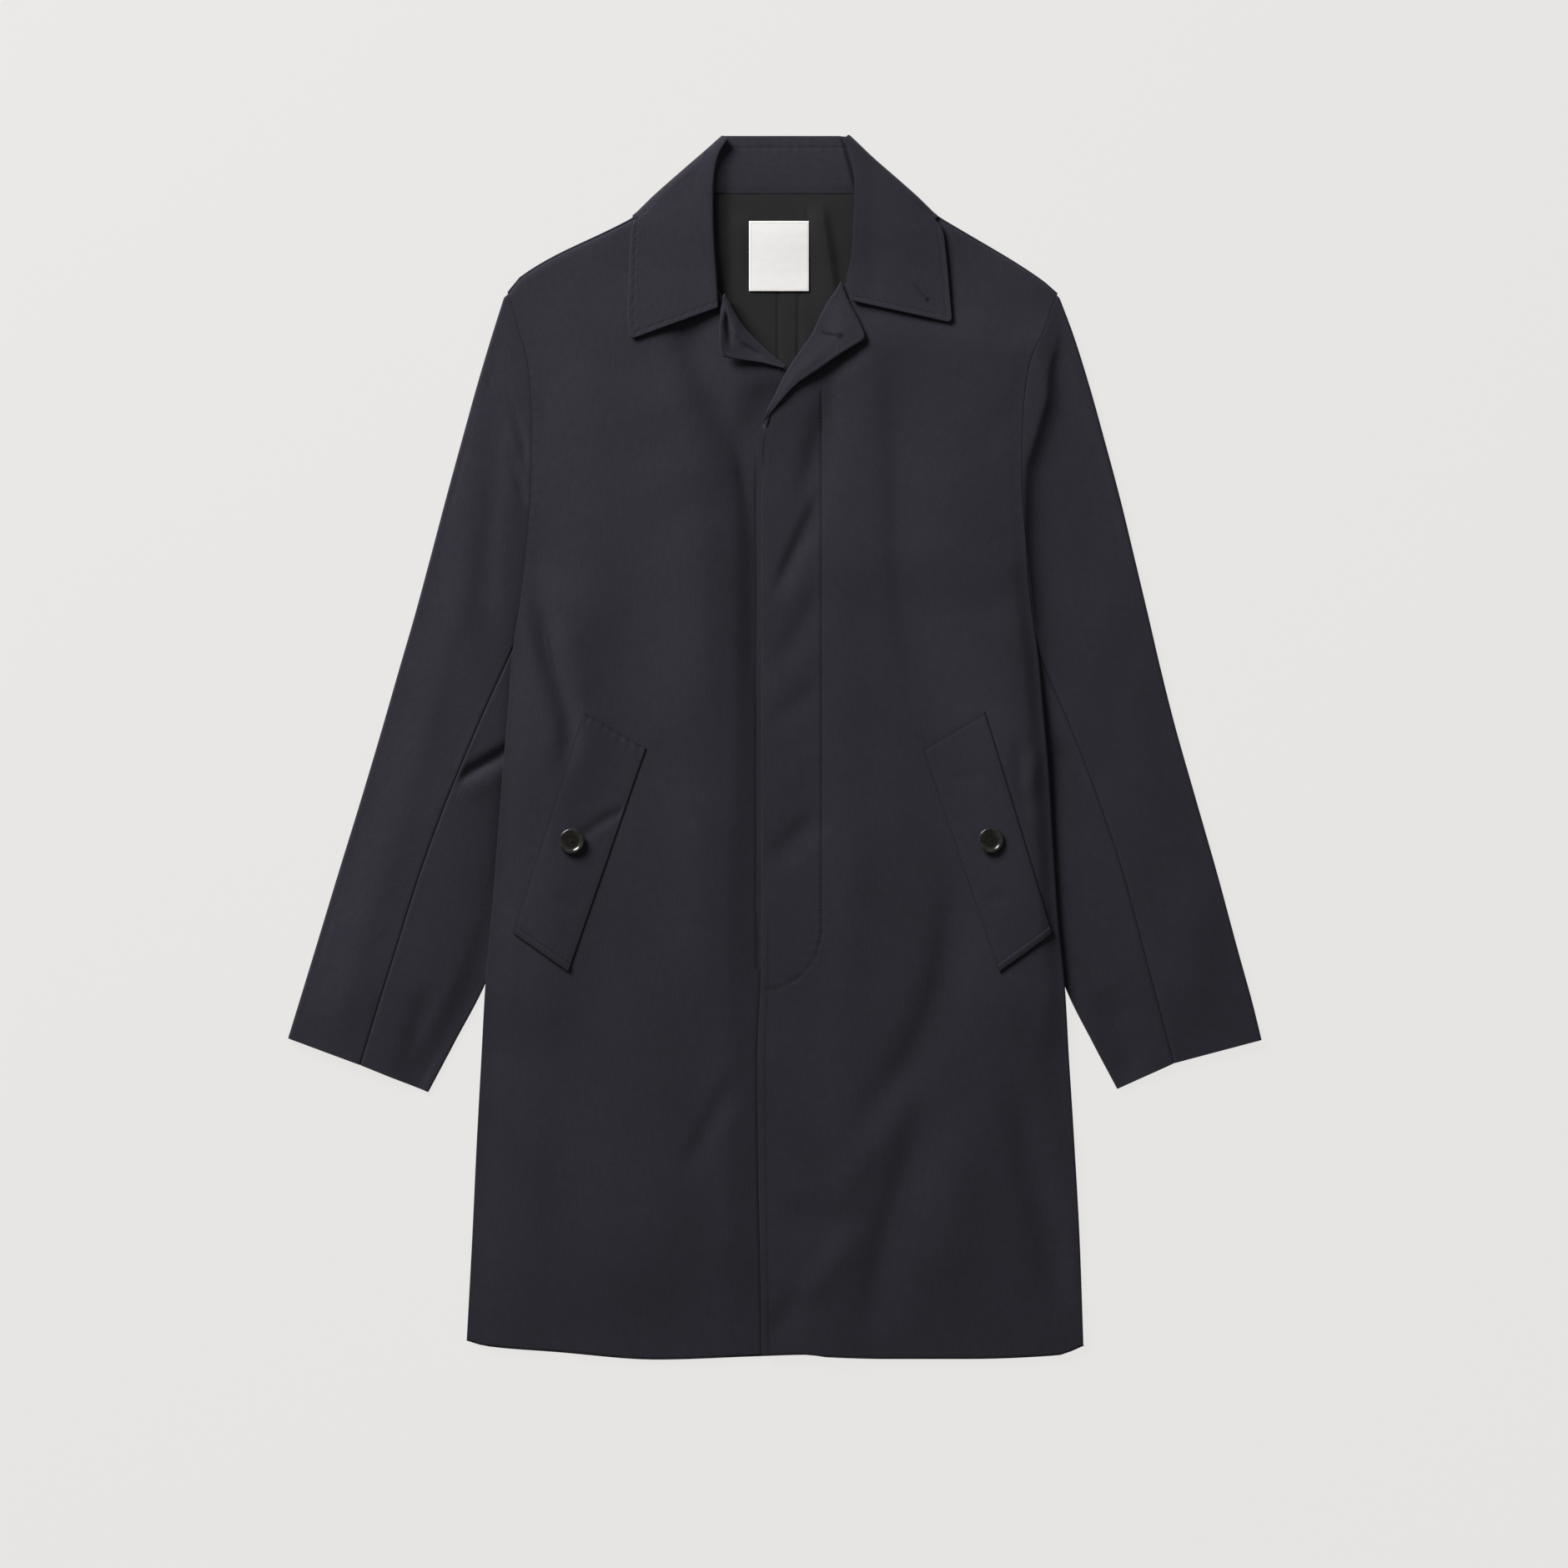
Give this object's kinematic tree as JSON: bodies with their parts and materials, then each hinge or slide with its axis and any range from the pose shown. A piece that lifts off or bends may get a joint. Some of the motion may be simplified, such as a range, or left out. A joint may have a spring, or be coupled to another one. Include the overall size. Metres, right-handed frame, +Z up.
{
  "type": "mackintosh laid flat",
  "caption": "Knee-length single-breasted navy mackintosh laid flat, with covered fly, turned-down collar and slanted buttoned pocket welts.",
  "frame": {"origin": "middle of the coat's outline, on the table it lies on", "axes": "+Y towards the collar, +X towards the wearer's left sleeve, +Z up off the table out of the fronts"},
  "size_m": [0.818, 1.027, 0.0177],
  "materials": {
    "cloth": "matt, tightly woven navy cotton",
    "lining": "soft sheen, charcoal lining",
    "label": "matt off-white woven tape, blank",
    "button": "polished dark resin"
  },
  "bodies": {
    "root": {"back": "cloth", "front_left": "cloth", "front_right": "cloth", "fly_strip": "cloth", "facing_left": "cloth", "facing_right": "cloth", "sleeve_top_left": "cloth", "sleeve_top_right": "cloth", "sleeve_under_left": "cloth", "sleeve_under_right": "cloth", "collar_leaf": "cloth", "collar_stand": "cloth", "lining_back": "lining", "label": "label", "welt_left": "cloth", "welt_right": "cloth", "pocket_button_left": "button", "pocket_button_right": "button"}
  },
  "joints": []
}
